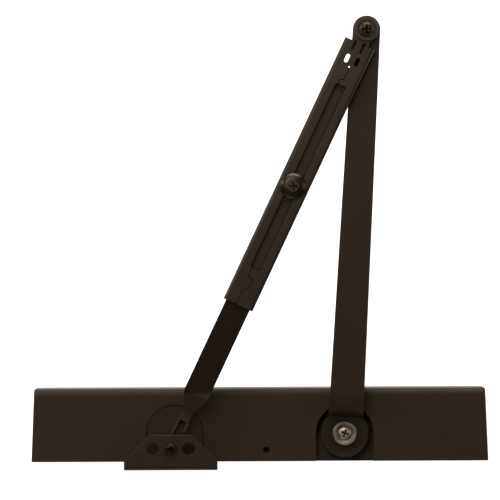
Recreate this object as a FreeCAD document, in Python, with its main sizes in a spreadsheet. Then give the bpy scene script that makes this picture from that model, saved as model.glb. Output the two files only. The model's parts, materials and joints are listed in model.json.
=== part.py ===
"""Surface door closer with a rod-and-shoe arm, in millimetres.

The origin is the centre of the four door screws, on the face of the door.
+X runs along the cover, +Y points away from the door, and +Z runs along the
pinion towards the arms.
"""

import FreeCAD, Part
import Sketcher
import math
import os

# ---------------------------------------------------------------- dimensions

DIMENSIONS = {
    # cover
    "cover_length": 325.2,
    "cover_front_length": 321.0,
    "cover_depth": 52.2,
    "cover_half_height": 34.0,
    "cover_wall": 2.2,
    "cover_edge_radius": 5.0,
    "cover_corner_radius": 1.5,
    "arch_radius": 20.4,
    "insert_gap": 0.25,
    "access_hole_radius": 2.25,
    "cover_screw_reach": 152.0,
    "cover_screw_radius": 1.9,
    "cover_screw_length": 12.0,
    # body casting
    "barrel_left": -128.0,
    "barrel_right": 130.0,
    "barrel_radius": 22.5,
    "bore_y": 26.0,
    "bore_radius": 18.0,
    "plug_radius": 19.5,
    "plug_depth": 14.0,
    "foot_half_height": 19.0,
    "lug_reach": 157.0,
    "lug_thickness": 8.0,
    "mount_spacing_x": 290.0,
    "mount_spacing_z": 19.0,
    "mount_hole_radius": 3.5,
    "running_gap": 0.05,
    # pinion shaft and its bearings
    "pinion_x": 60.5,
    "pinion_y": 20.0,
    "tower_radius": 16.5,
    "tower_foot_half_width": 24.0,
    "tower_half_height": 26.0,
    "journal_radius": 8.0,
    "bearing_radius": 11.5,
    "bearing_start": 18.3,
    "bearing_length": 4.3,
    "seal_length": 1.9,
    "nut_radius": 13.0,
    "nut_start": 24.8,
    "nut_end": 26.8,
    "square_flats": 11.0,
    "shaft_end": 31.4,
    # gear and rack
    "teeth": 12.0,
    "gear_module": 1.5,
    "pressure_angle": 25.0,
    "tooth_thinning": 0.08,
    "gear_half_length": 8.5,
    "rack_half_length": 7.5,
    # piston
    "piston_left": 34.5,
    "piston_right": 112.0,
    "left_head": 14.0,
    "right_head": 12.0,
    # spring, seat and adjuster
    "spring_mean_radius": 14.4,
    "wire_radius": 2.75,
    "spring_turns": 11.5,
    "seat_face": -98.0,
    "seat_thickness": 6.0,
    "adjuster_radius": 4.0,
    # valves
    "valve_y": 8.1,
    "valve_radius": 2.5,
    "backcheck_x": 4.7,
    "sweep_x": 95.0,
    "latch_x": 110.0,
    "rib_top": 25.0,
    # main arm
    "arm_length": 287.2,
    "arm_lean": 3.27,
    "arm_bottom": 45.0,
    "arm_top": 52.0,
    "hub_radius": 16.9,
    "hub_bottom": 27.0,
    "hub_top": 36.5,
    "arm_hub_width": 24.6,
    "arm_elbow_width": 19.6,
    # forearm
    "forearm_angle": 25.25,
    "forearm_length": 328.7,
    "sleeve_start": 11.4,
    "sleeve_end": 215.8,
    "sleeve_width": 22.7,
    "sleeve_bottom": 52.5,
    "sleeve_top": 61.8,
    "sheet": 2.0,
    "slot_start": 43.8,
    "slot_end": 187.9,
    "slot_width": 7.8,
    "clamp_x": 123.0,
    # rod
    "rod_width": 18.5,
    "rod_thickness": 5.0,
    "rod_start": 47.2,
    "eye_top": 50.0,
    "eye_radius": 6.5,
    "waist_width": 7.8,
    "rod_groove_width": 4.6,
    "neck_width": 9.2,
    # shoe
    "shoe_width": 66.4,
    "shoe_top_width": 30.2,
    "shoe_front": 10.15,
    "shoe_shoulder": 8.6,
    "shoe_back": 15.15,
    "shoe_sheet": 3.0,
    "shoe_bottom": 35.0,
    "shoe_plate_bottom": 50.2,
    "shoe_hole_radius": 4.4,
    "shoe_hole_x": 12.8,
    "frame_hole_x": 20.0,
    "frame_hole_z": 41.5,
    "frame_hole_radius": 2.75,
    # screws of the arm
    "pivot_screw_radius": 3.0,
    "arm_screw_radius": 2.5,
}

doc = FreeCAD.newDocument("DoorCloser")
sheet = doc.addObject("Spreadsheet::Sheet", "Dims")
for row, (alias, number) in enumerate(DIMENSIONS.items(), start=1):
    sheet.set(f"A{row}", alias)
    sheet.set(f"B{row}", str(number))
    sheet.setAlias(f"B{row}", alias)
doc.recompute()


class Size:
    """A length or an angle in degrees: its value, and the expression that binds it to the sheet."""

    def __init__(self, value, text):
        self.value = value
        self.text = text

    def __add__(self, other):
        other = size(other)
        return Size(self.value + other.value, f"({self.text} + {other.text})")

    def __sub__(self, other):
        other = size(other)
        return Size(self.value - other.value, f"({self.text} - {other.text})")

    def __mul__(self, other):
        other = size(other)
        return Size(self.value * other.value, f"({self.text} * {other.text})")

    def __truediv__(self, other):
        other = size(other)
        return Size(self.value / other.value, f"({self.text} / {other.text})")

    def __radd__(self, other):
        return size(other) + self

    def __rsub__(self, other):
        return size(other) - self

    def __rmul__(self, other):
        return size(other) * self

    def __rtruediv__(self, other):
        return size(other) / self

    def __neg__(self):
        return Size(-self.value, f"(-1 * {self.text})")


def size(value):
    """A Size as it is, or a plain number as a Size."""
    if isinstance(value, Size):
        return value
    return Size(float(value), f"({float(value)})")


def sine(angle):
    angle = size(angle)
    return Size(math.sin(math.radians(angle.value)), f"sin({angle.text})")


def cosine(angle):
    angle = size(angle)
    return Size(math.cos(math.radians(angle.value)), f"cos({angle.text})")


def tangent(angle):
    angle = size(angle)
    return Size(math.tan(math.radians(angle.value)), f"tan({angle.text})")


def root(value):
    value = size(value)
    return Size(math.sqrt(value.value), f"sqrt({value.text})")


class Dims:
    """The sheet's cells by name."""

    def __getattr__(self, alias):
        return Size(DIMENSIONS[alias], f"Dims.{alias}")


d = Dims()
PINION = (d.pinion_x, d.pinion_y)
ARM_ANGLE = 90 - d.arm_lean
ELBOW = (
    d.pinion_x + d.arm_length * cosine(ARM_ANGLE),
    d.pinion_y + d.arm_length * sine(ARM_ANGLE),
)
FOREARM_ANGLE = 270 - d.forearm_angle
SHOE = (
    ELBOW[0] + d.forearm_length * cosine(FOREARM_ANGLE),
    ELBOW[1] + d.forearm_length * sine(FOREARM_ANGLE),
)

# ------------------------------------------------------------------ building

nodes = {}


def bind(target, prop, value):
    """Set a property, and bind it to the sheet."""
    target.setExpression(prop, size(value).text)


def new_body(name, place=(0, 0, 0), turn=0):
    """A body named after its node, placed at a point and turned about Z."""
    body = doc.addObject("PartDesign::Body", name)
    body.Label = name
    body.Placement.Rotation = FreeCAD.Rotation(FreeCAD.Vector(0, 0, 1), 1)
    for axis, value in zip("xyz", place):
        bind(body, f"Placement.Base.{axis}", value)
    bind(body, "Placement.Rotation.Angle", turn)
    nodes[name] = body
    return body


def origin_part(body, role):
    """One of the body's own origin planes or axes."""
    for part in body.Origin.OriginFeatures:
        if part.Role == role:
            return part
    raise ValueError(role)


def new_sketch(body, plane="XY", height=0):
    sketch = body.newObject("Sketcher::SketchObject", f"{body.Name}_sketch")
    sketch.AttachmentSupport = (origin_part(body, f"{plane}_Plane"), "")
    sketch.MapMode = "FlatFace"
    bind(sketch, "AttachmentOffset.Base.z", height)
    return sketch


def hold(sketch, kind, first, value):
    """A dimension of the sketch, bound to the sheet."""
    value = size(value)
    number = sketch.addConstraint(Sketcher.Constraint(kind, *first, value.value))
    sketch.setExpression(f"Constraints[{number}]", value.text)


def hold_point(sketch, edge, end, point):
    """Locate one end of an edge from the sketch's origin."""
    for kind, axis, value in (("DistanceX", -2, point[0]), ("DistanceY", -1, point[1])):
        if abs(size(value).value) < 1e-9:
            sketch.addConstraint(Sketcher.Constraint("PointOnObject", edge, end, axis))
        else:
            hold(sketch, kind, (-1, 1, edge, end), value)


def outline(sketch, corners):
    """A closed outline. A corner is (x, y), or (x, y, radius) where the edge that arrives there is
    an arc under a half turn: anticlockwise for a positive radius, clockwise for a negative one."""
    ends = []
    for here, there in zip(corners, corners[1:] + corners[:1]):
        start = FreeCAD.Vector(size(here[0]).value, size(here[1]).value, 0)
        end = FreeCAD.Vector(size(there[0]).value, size(there[1]).value, 0)
        if len(there) == 2:
            edge = sketch.addGeometry(Part.LineSegment(start, end), False)
            ends.append((edge, 1, 2))
            continue
        radius = size(there[2])
        bend = 1 if radius.value > 0 else -1
        chord = end - start
        rise = math.sqrt(max(radius.value ** 2 - chord.Length ** 2 / 4, 0))
        left = FreeCAD.Vector(-chord.y, chord.x, 0).normalize()
        centre = (start + end) / 2 + left * rise * bend
        first, last = (start, end) if bend > 0 else (end, start)
        low = math.atan2(first.y - centre.y, first.x - centre.x)
        high = math.atan2(last.y - centre.y, last.x - centre.x)
        circle = Part.Circle(centre, FreeCAD.Vector(0, 0, 1), abs(radius.value))
        if high < low:
            high += 2 * math.pi
        edge = sketch.addGeometry(Part.ArcOfCircle(circle, low, high), False)
        ends.append((edge, 1, 2) if bend > 0 else (edge, 2, 1))
        hold(sketch, "Radius", (edge,), radius * bend)
    for this, following in zip(ends, ends[1:] + ends[:1]):
        pair = (this[0], this[2], following[0], following[1])
        sketch.addConstraint(Sketcher.Constraint("Coincident", *pair))
    for (edge, start, _), corner in zip(ends, corners):
        hold_point(sketch, edge, start, corner)


def circle(sketch, x, y, radius):
    centre = FreeCAD.Vector(size(x).value, size(y).value, 0)
    normal = FreeCAD.Vector(0, 0, 1)
    edge = sketch.addGeometry(Part.Circle(centre, normal, size(radius).value), False)
    if abs(centre.x) < 1e-9 and abs(centre.y) < 1e-9:
        sketch.addConstraint(Sketcher.Constraint("Coincident", edge, 3, -1, 1))
    else:
        hold_point(sketch, edge, 3, (x, y))
    hold(sketch, "Radius", (edge,), radius)


def rectangle(left, low, right, high):
    return [(left, low), (right, low), (right, high), (left, high)]


def hexagon(flats):
    """A hexagon's corners, with two of them on the X axis."""
    reach = size(flats) / cosine(30) / 2
    return [(reach * cosine(60 * k), reach * sine(60 * k)) for k in range(6)]


def rounded_rectangle(left, low, right, high, corner):
    return [
        (right - corner, low),
        (right, low + corner, corner),
        (right, high - corner),
        (right - corner, high, corner),
        (left + corner, high),
        (left, high - corner, corner),
        (left, low + corner),
        (left + corner, low, corner),
    ]


def slot(left, right, half_width, y=0):
    """A round-ended slot along X, between its two outer ends."""
    left = size(left)
    right = size(right)
    half_width = size(half_width)
    low = y - half_width
    high = y + half_width
    return [
        (left + half_width, low, half_width),
        (right - half_width, low),
        (right, y, half_width),
        (right - half_width, high, half_width),
        (left + half_width, high),
        (left, y, half_width),
    ]


def finish_feature(body, feature, profile):
    feature.Profile = profile
    body.Tip = feature
    doc.recompute()
    return feature


def pad(body, profile, length, both_ways=False, reverse=False):
    feature = body.newObject("PartDesign::Pad", f"{body.Name}_pad")
    feature.Midplane = both_ways
    feature.Reversed = reverse
    bind(feature, "Length", length)
    return finish_feature(body, feature, profile)


def check_cut(body, before):
    """A cut that takes nothing away is a fault."""
    after = body.Shape.Volume
    if not after < before - 1e-3:
        raise ValueError(f"{body.Label}: a cut took nothing away")


def pocket(body, profile, length, both_ways=False, reverse=False, taper=0):
    before = body.Shape.Volume
    feature = body.newObject("PartDesign::Pocket", f"{body.Name}_pocket")
    feature.Midplane = both_ways
    feature.Reversed = reverse
    feature.TaperAngle = taper
    bind(feature, "Length", length)
    finish_feature(body, feature, profile)
    check_cut(body, before)
    return feature


def revolve(body, sketch, axis):
    feature = body.newObject("PartDesign::Revolution", f"{body.Name}_turned")
    feature.ReferenceAxis = (sketch, [f"{axis}_Axis"])
    feature.Angle = 360
    return finish_feature(body, feature, sketch)


def lathe(body, points, axis="V"):
    """Turn an outline of (radius, z) corners about Z, or of (x, radius) corners about X."""
    sketch = new_sketch(body, "XZ" if axis == "V" else "XY")
    outline(sketch, points)
    return revolve(body, sketch, axis)


def groove(body, points, axis="V"):
    before = body.Shape.Volume
    sketch = new_sketch(body, "XZ" if axis == "V" else "XY")
    outline(sketch, points)
    feature = body.newObject("PartDesign::Groove", f"{body.Name}_groove")
    feature.ReferenceAxis = (sketch, [f"{axis}_Axis"])
    feature.Angle = 360
    finish_feature(body, feature, sketch)
    check_cut(body, before)
    return feature


def round_pattern(body, feature, count):
    pattern = body.newObject("PartDesign::PolarPattern", f"{body.Name}_around")
    pattern.Originals = [feature]
    pattern.Axis = (origin_part(body, "Z_Axis"), [""])
    pattern.Angle = 360
    bind(pattern, "Occurrences", count)
    body.Tip = pattern
    doc.recompute()
    return pattern


def row_pattern(body, features, length, count):
    """Repeat features along X. The length is from the first to the last."""
    pattern = body.newObject("PartDesign::LinearPattern", f"{body.Name}_row")
    pattern.Originals = features
    pattern.Direction = (origin_part(body, "X_Axis"), [""])
    bind(pattern, "Length", length)
    bind(pattern, "Occurrences", count)
    body.Tip = pattern
    doc.recompute()
    return pattern


def ring(name, inner, outer, low, high, place=(0, 0, 0), chamfer=0):
    """A plain ring or washer about a vertical axis, with an optional chamfer on its top edge."""
    body = new_body(name, place)
    points = [(inner, low), (outer, low), (outer, high), (inner, high)]
    if chamfer:
        points[2:3] = [(outer, high - size(chamfer)), (outer - size(chamfer), high)]
    lathe(body, points)
    return body


def cross_recess(body, top, width, length, depth):
    """The cross-shaped recess of a screw head, cut down from its top."""
    for across, along in ((width, length), (length, width)):
        sketch = new_sketch(body, "XY", top)
        half_across = size(across) / 2
        half_along = size(along) / 2
        outline(sketch, rectangle(-half_across, -half_along, half_across, half_along))
        pocket(body, sketch, depth)


def pan_screw(name, place, shank_radius, shank_low, head_low, head_radius, head_height, crown=0.45):
    """A pan head screw pointing down, with a cross recess. The crown is the flat part of the head."""
    body = new_body(name, place)
    head_radius = size(head_radius)
    head_low = size(head_low)
    head_top = head_low + head_height
    shoulder = head_low + size(head_height) * 0.45
    lathe(body, [
        (0, shank_low),
        (size(shank_radius) - 0.6, shank_low),
        (shank_radius, size(shank_low) + 0.6),
        (shank_radius, head_low),
        (head_radius, head_low),
        (head_radius, shoulder),
        (head_radius * crown, head_top, head_radius * 0.8),
        (0, head_top),
    ])
    cross_recess(body, head_top, head_radius * 0.3, head_radius * 1.2, size(head_height) * 0.65)
    return body


def hex_nut(name, place, hole_radius, low, high, flats):
    body = new_body(name, place)
    sketch = new_sketch(body, "XY", low)
    outline(sketch, hexagon(flats))
    circle(sketch, 0, 0, hole_radius)
    pad(body, sketch, size(high) - low)
    return body


# --------------------------------------------------------------------- cover

COVER_SCREW_HEAD = 3.8


def arch(x, radius, back):
    """The plan of an arch that runs out towards the door as far as back."""
    return [
        (x + radius, back),
        (x + radius, d.pinion_y),
        (x, d.pinion_y + radius, radius),
        (x - radius, d.pinion_y, radius),
        (x - radius, back),
    ]


def make_cover():
    body = new_body("cover")
    half = d.cover_half_height
    edge = d.cover_edge_radius
    depth = d.cover_depth
    wall = d.cover_wall
    section = new_sketch(body, "YZ")
    outline(section, [
        (0, -half),
        (depth - edge, -half),
        (depth, edge - half, edge),
        (depth, half - edge),
        (depth - edge, half, edge),
        (0, half),
    ])
    pad(body, section, d.cover_length, both_ways=True)
    back = d.cover_length / 2
    front = d.cover_front_length / 2
    corner = d.cover_corner_radius
    draft = (back - front) / depth
    for side in (1, -1):
        wedge = new_sketch(body)
        outline(wedge, [
            (back * side, 0),
            ((back + 2) * side, 0),
            ((back + 2) * side, depth + 1),
            ((front - corner) * side, depth + 1),
            ((front - corner) * side, depth),
            ((front + draft * corner) * side, depth - corner, corner * -side),
        ])
        pocket(body, wedge, half * 2 + 2, both_ways=True)
    inside = depth - wall
    cavity = new_sketch(body)
    outline(cavity, [(wall - back, -1), (back - wall, -1), (front - wall, inside), (wall - front, inside)])
    pocket(body, cavity, (half - wall) * 2, both_ways=True)
    for side in (1, -1):
        opening = new_sketch(body, "XY", half)
        outline(opening, arch(d.pinion_x * side, d.arch_radius, -2))
        pocket(body, opening, wall + 0.5)
    access = new_sketch(body, "XY", half)
    circle(access, d.backcheck_x, d.valve_y, d.access_hole_radius)
    pocket(body, access, wall + 0.5)
    screw_holes = new_sketch(body, "XZ", -depth)
    countersinks = new_sketch(body, "XZ", -depth)
    for side in (1, -1):
        circle(screw_holes, d.cover_screw_reach * side, 0, d.cover_screw_radius + 0.1)
        circle(countersinks, d.cover_screw_reach * side, 0, COVER_SCREW_HEAD + 0.1)
    pocket(body, screw_holes, wall + 0.5, reverse=True)
    pocket(body, countersinks, COVER_SCREW_HEAD - d.cover_screw_radius, reverse=True, taper=-45)


def make_cover_insert():
    """The filler of the unused arch: a panel in the arch, and a lip behind the cover's wall."""
    body = new_body("cover_insert")
    wall_inside = d.cover_half_height - d.cover_wall
    lip_bottom = wall_inside - 1.6
    radius = d.arch_radius - d.insert_gap
    panel = new_sketch(body, "XY", lip_bottom)
    outline(panel, arch(-d.pinion_x, radius, 0))
    pad(body, panel, d.cover_half_height - 0.3 - lip_bottom)
    lip = new_sketch(body, "XY", lip_bottom)
    outline(lip, arch(-d.pinion_x, radius + 2.4, 0))
    pad(body, lip, wall_inside - lip_bottom)


def make_cover_screws():
    """Two countersunk screws that hold the cover's front wall to the casting's posts."""
    body = new_body("cover_screws", (-d.cover_screw_reach, 0, 0))
    front = d.cover_depth - 0.05
    shank = d.cover_screw_radius
    turned = new_sketch(body)
    outline(turned, [
        (0, front - d.cover_screw_length),
        (shank, front - d.cover_screw_length),
        (shank, front - (COVER_SCREW_HEAD - shank)),
        (COVER_SCREW_HEAD, front),
        (0, front),
    ])
    features = [revolve(body, turned, "V")]
    recess_width = 0.9
    recess_length = 4
    for across, along in ((recess_width, recess_length), (recess_length, recess_width)):
        recess = new_sketch(body, "XZ", -front)
        outline(recess, rectangle(-across / 2, -along / 2, across / 2, along / 2))
        features.append(pocket(body, recess, 1.2, reverse=True))
    row_pattern(body, features, d.cover_screw_reach * 2, 2)


# -------------------------------------------------------------- body casting

VALVE_PLACES = {
    "backcheck_valve": d.backcheck_x,
    "sweep_valve": d.sweep_x,
    "latch_valve": d.latch_x,
}
SIDES = {"upper": 1, "lower": -1}


def make_body_casting():
    body = new_body("body_casting")
    left = d.barrel_left
    right = d.barrel_right
    length = right - left
    foot = new_sketch(body, "YZ", left)
    outline(foot, rectangle(0, -d.foot_half_height, d.bore_y, d.foot_half_height))
    pad(body, foot, length)
    barrel = new_sketch(body, "YZ", left)
    circle(barrel, d.bore_y, 0, d.barrel_radius)
    pad(body, barrel, length)
    lugs = new_sketch(body, "XZ")
    outline(lugs, rectangle(-d.lug_reach, -d.foot_half_height, d.lug_reach, d.foot_half_height))
    pad(body, lugs, d.lug_thickness, reverse=True)
    tower = new_sketch(body)
    circle(tower, *PINION, d.tower_radius)
    pad(body, tower, d.tower_half_height * 2, both_ways=True)
    tower_foot = new_sketch(body)
    foot_left = d.pinion_x - d.tower_foot_half_width
    foot_right = d.pinion_x + d.tower_foot_half_width
    outline(tower_foot, rectangle(foot_left, 0, foot_right, d.pinion_y))
    pad(body, tower_foot, d.tower_half_height * 2, both_ways=True)
    boss_start = d.foot_half_height - 2
    bosses = new_sketch(body, "XY", boss_start)
    for x in VALVE_PLACES.values():
        circle(bosses, x, d.valve_y, d.valve_radius + 3)
    pad(body, bosses, d.rib_top - boss_start)
    post_end = d.cover_depth - d.cover_wall - 0.1
    post_start = d.lug_thickness - 1
    posts = new_sketch(body, "XZ", -post_start)
    for side in (1, -1):
        circle(posts, d.cover_screw_reach * side, 0, 4.5)
    pad(body, posts, post_end - post_start, reverse=True)

    bore = new_sketch(body, "YZ", left - 1)
    circle(bore, d.bore_y, 0, d.bore_radius)
    pocket(body, bore, length + 2, reverse=True)
    for end, towards_right in ((left, True), (right, False)):
        seat = new_sketch(body, "YZ", end)
        circle(seat, d.bore_y, 0, d.plug_radius)
        pocket(body, seat, d.plug_depth, reverse=towards_right)
    shaft_bore = new_sketch(body)
    circle(shaft_bore, *PINION, d.bearing_radius)
    pocket(body, shaft_bore, d.tower_half_height * 2 + 2, both_ways=True)
    for side in SIDES.values():
        thread = new_sketch(body, "XY", d.nut_start * side)
        circle(thread, *PINION, d.nut_radius)
        pocket(body, thread, 3, reverse=side > 0)
    valve_holes = new_sketch(body, "XY", d.rib_top)
    for x in VALVE_PLACES.values():
        circle(valve_holes, x, d.valve_y, d.valve_radius)
    pocket(body, valve_holes, VALVE_DEPTH)
    door_holes = new_sketch(body, "XZ")
    for side in (1, -1):
        for level in (1, -1):
            x = d.mount_spacing_x / 2 * side
            circle(door_holes, x, d.mount_spacing_z / 2 * level, d.mount_hole_radius)
    pocket(body, door_holes, d.lug_thickness + 1)
    tapped = new_sketch(body, "XZ", -post_end)
    for side in (1, -1):
        circle(tapped, d.cover_screw_reach * side, 0, d.cover_screw_radius)
    pocket(body, tapped, d.cover_screw_length, reverse=True)


PLUG_SPIGOT = 3.5
RING_WIRE = 0.9


def bore_body(name):
    """A body whose own X axis is the axis of the piston's bore."""
    return new_body(name, (0, d.bore_y, 0))


def make_plug(name, outer, inward, hole):
    """A threaded end plug and its sealing ring: outer is its outside face, inward is 1 or -1."""
    shoulder = outer + d.plug_depth * inward
    inner = shoulder + PLUG_SPIGOT * inward
    spigot = d.bore_radius - 0.1
    groove_bottom = d.bore_radius - RING_WIRE * 2
    groove_start = shoulder + 0.7 * inward
    groove_stop = groove_start + RING_WIRE * 2.2 * inward
    plug = bore_body(name)
    lathe(plug, [
        (outer, hole),
        (outer, d.plug_radius),
        (shoulder, d.plug_radius),
        (shoulder, spigot),
        (groove_start, spigot),
        (groove_start, groove_bottom),
        (groove_stop, groove_bottom),
        (groove_stop, spigot),
        (inner, spigot),
        (inner, hole),
    ], "H")
    ring_body = bore_body(name.replace("plug", "plug_ring"))
    section = new_sketch(ring_body)
    circle(section, (groove_start + groove_stop) / 2, d.bore_radius - RING_WIRE, RING_WIRE)
    revolve(ring_body, section, "H")
    return plug


def make_plugs():
    adjuster_hole = d.adjuster_radius + d.running_gap
    left_plug = make_plug("spring_end_plug", d.barrel_left, 1, adjuster_hole)
    key_holes = new_sketch(left_plug, "YZ", d.barrel_left)
    for side in (1, -1):
        circle(key_holes, 0, 11 * side, 2)
    pocket(left_plug, key_holes, 5, reverse=True)
    right_plug = make_plug("valve_end_plug", d.barrel_right, -1, 0)
    key = new_sketch(right_plug, "YZ", d.barrel_right)
    outline(key, hexagon(10))
    pocket(right_plug, key, 6)


def make_bearings():
    """At each end of the pinion shaft: a bearing, a lip seal and a slotted nut."""
    inner = d.journal_radius + d.running_gap
    place = PINION + (0,)
    for name, side in SIDES.items():
        low = d.bearing_start * side
        high = low + d.bearing_length * side
        bearing = new_body(f"{name}_bearing", place)
        lathe(bearing, rectangle(inner, low, d.bearing_radius, high))
        seal_start = high + 0.1 * side
        seal_stop = seal_start + d.seal_length * side
        seal = new_body(f"{name}_shaft_seal", place)
        lathe(seal, [
            (inner, seal_start),
            (d.bearing_radius, seal_start),
            (d.bearing_radius, seal_stop),
            (inner + 1.2, seal_stop),
            (inner, seal_start + d.seal_length * 0.5 * side),
        ])
        nut = new_body(f"{name}_bearing_nut", place)
        lathe(nut, rectangle(inner + 0.3, d.nut_start * side, d.nut_radius, d.nut_end * side))
        slots = new_sketch(nut, "XY", d.nut_end * side)
        outline(slots, rectangle(-d.nut_radius - 1, -1.5, d.nut_radius + 1, 1.5))
        pocket(nut, slots, 1, reverse=side < 0)


VALVE_DEPTH = 12


def make_valves():
    """The needle screws that set how fast the oil passes."""
    radius = d.valve_radius - d.running_gap
    bottom = d.rib_top - VALVE_DEPTH + 0.2
    top = d.rib_top - 0.4
    for name, x in VALVE_PLACES.items():
        valve = new_body(name, (x, d.valve_y, 0))
        lathe(valve, [
            (0, bottom),
            (0.6, bottom),
            (1.6, bottom + 3),
            (radius, bottom + 3),
            (radius, bottom + 5),
            (radius - 0.5, bottom + 5),
            (radius - 0.5, bottom + 6),
            (radius, bottom + 6),
            (radius, top),
            (0, top),
        ])
        driver_slot = new_sketch(valve, "XY", top)
        outline(driver_slot, rectangle(-radius - 1, -0.4, radius + 1, 0.4))
        pocket(valve, driver_slot, 1.2)


# ------------------------------------------------------- pinion shaft, piston

PITCH_RADIUS = d.teeth * d.gear_module / 2
TIP_RADIUS = PITCH_RADIUS + d.gear_module
ROOT_RADIUS = PITCH_RADIUS - d.gear_module * 1.4
BASE_RADIUS = PITCH_RADIUS * cosine(d.pressure_angle)
TOOTH_PITCH = d.gear_module * math.pi
DEGREES = 180 / math.pi


def flank_angle(radius):
    """Half the angle of the gap between two involute teeth, at a radius."""
    along = root(radius * radius / BASE_RADIUS / BASE_RADIUS - 1)
    slope = Size(math.degrees(math.atan(along.value)), f"(atan({along.text}) / 1deg)")
    at_radius = along * DEGREES - slope
    at_pitch = tangent(d.pressure_angle) * DEGREES - d.pressure_angle
    half_tooth = 90 / d.teeth - d.tooth_thinning / PITCH_RADIUS * (DEGREES / 2)
    return 180 / d.teeth - half_tooth - at_pitch + at_radius


def make_pinion_shaft():
    body = new_body("pinion_shaft", PINION + (0,), ARM_ANGLE)
    gear = d.gear_half_length
    lathe(body, [
        (0, -d.nut_end),
        (d.journal_radius, -d.nut_end),
        (d.journal_radius, -gear),
        (TIP_RADIUS, -gear),
        (TIP_RADIUS, gear),
        (d.journal_radius, gear),
        (d.journal_radius, d.nut_end),
        (0, d.nut_end),
    ])
    half_square = d.square_flats / 2
    for side in SIDES.values():
        square = new_sketch(body, "XY", d.nut_end * side)
        outline(square, rectangle(-half_square, -half_square, half_square, half_square))
        pad(body, square, d.shaft_end - d.nut_end, reverse=side < 0)
    for side in SIDES.values():
        tapped = new_sketch(body, "XY", d.shaft_end * side)
        circle(tapped, 0, 0, d.arm_screw_radius)
        pocket(body, tapped, 15, reverse=side < 0)
    middle = d.arm_lean + 180 / d.teeth
    start = BASE_RADIUS + 0.02
    radii = [start, BASE_RADIUS + 0.4, PITCH_RADIUS + 0.3, TIP_RADIUS - 0.3, TIP_RADIUS + 0.4]
    right_flank = [(radius, middle - flank_angle(radius)) for radius in radii]
    left_flank = [(radius, middle + flank_angle(radius)) for radius in reversed(radii)]
    foot = flank_angle(start)
    gap = [(ROOT_RADIUS, middle - foot)] + right_flank + left_flank + [(ROOT_RADIUS, middle + foot)]
    tooth_gap = new_sketch(body)
    outline(tooth_gap, [(radius * cosine(angle), radius * sine(angle)) for radius, angle in gap])
    cut = pocket(body, tooth_gap, gear * 2 + 0.4, both_ways=True)
    round_pattern(body, cut, d.teeth)


RACK_TEETH = 10
SEAL_WIDTH = 3
SEAL_HEIGHT = 1.6
BALL_RADIUS = 2.6
BALL_POCKET = 8
PORT_RADIUS = 1.5


def make_rack_piston():
    """Two heads joined by a toothed bar, which passes the pinion on the side away from the door."""
    body = bore_body("rack_piston")
    radius = d.bore_radius - d.running_gap
    left = d.piston_left
    right = d.piston_right
    lathe(body, rectangle(left, 0, right, radius), "H")
    pitch_line = d.pinion_y + PITCH_RADIUS - d.bore_y
    tip_line = pitch_line - d.gear_module
    root_line = pitch_line + d.gear_module * 1.27
    window = new_sketch(body)
    outline(window, rectangle(left + d.left_head, -radius - 1, right - d.right_head, root_line))
    pocket(body, window, radius * 2 + 2, both_ways=True)
    slope = tangent(d.pressure_angle)
    at_pitch = TOOTH_PITCH / 4 - d.tooth_thinning / 2
    at_tip = at_pitch - d.gear_module * slope
    at_root = at_pitch + (root_line - pitch_line) * slope
    first = d.pinion_x - TOOTH_PITCH * 1.5
    tooth = new_sketch(body)
    outline(tooth, [
        (first - at_tip, tip_line),
        (first + at_tip, tip_line),
        (first + at_root, root_line),
        (first + at_root, root_line + 1),
        (first - at_root, root_line + 1),
        (first - at_root, root_line),
    ])
    one_tooth = pad(body, tooth, d.rack_half_length * 2, both_ways=True)
    row_pattern(body, [one_tooth], TOOTH_PITCH * (RACK_TEETH - 1), RACK_TEETH)
    seal_left = right - 4 - SEAL_WIDTH
    groove(body, rectangle(seal_left, radius - SEAL_HEIGHT, right - 4, radius + 1), "H")
    for hole_radius, depth in ((3.5, BALL_POCKET), (PORT_RADIUS, d.right_head + 1)):
        hole = new_sketch(body, "YZ", right)
        circle(hole, 0, 0, hole_radius)
        pocket(body, hole, depth)
    seal = bore_body("piston_seal")
    seal_inside = radius - SEAL_HEIGHT + 0.03
    lathe(seal, rectangle(seal_left + 0.1, seal_inside, right - 4.1, radius), "H")


def make_check_valve():
    """The ball that lets oil pass the piston as the door opens, and the ring that keeps it in."""
    seat = d.piston_right - BALL_POCKET
    centre = seat + math.sqrt(BALL_RADIUS ** 2 - PORT_RADIUS ** 2) + 0.02
    ball = bore_body("check_ball")
    half_disc = new_sketch(ball)
    outline(half_disc, [
        (centre - BALL_RADIUS, 0, BALL_RADIUS),
        (centre + BALL_RADIUS, 0),
        (centre, BALL_RADIUS, BALL_RADIUS),
    ])
    revolve(ball, half_disc, "H")
    retainer = bore_body("check_retainer")
    lathe(retainer, rectangle(d.piston_right - 2, 1.2, d.piston_right, 3.5), "H")


# ------------------------------------------------------ spring and its seat

COLLAR = 2.4


def make_spring():
    """The closing spring, between its seat and the piston's left head."""
    body = bore_body("power_spring")
    clear = d.wire_radius + 0.1
    section = new_sketch(body)
    circle(section, d.seat_face + clear, d.spring_mean_radius, d.wire_radius)
    helix = body.newObject("PartDesign::AdditiveHelix", "power_spring_coil")
    helix.Profile = section
    helix.ReferenceAxis = (section, ["H_Axis"])
    helix.Mode = "height-turns-angle"
    bind(helix, "Height", d.piston_left - d.seat_face - clear * 2)
    bind(helix, "Turns", d.spring_turns)
    body.Tip = helix
    doc.recompute()


def make_spring_seat():
    """The threaded disc that the adjuster draws along the bore."""
    body = bore_body("spring_seat")
    face = d.seat_face
    back = face - d.seat_thickness
    hole = d.adjuster_radius + d.running_gap
    lathe(body, [
        (back, hole),
        (back, d.bore_radius - 0.5),
        (back + 3.5, d.bore_radius - 0.5),
        (back + 3.5, d.bore_radius - 1),
        (face, d.bore_radius - 1),
        (face, hole),
    ], "H")


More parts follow.
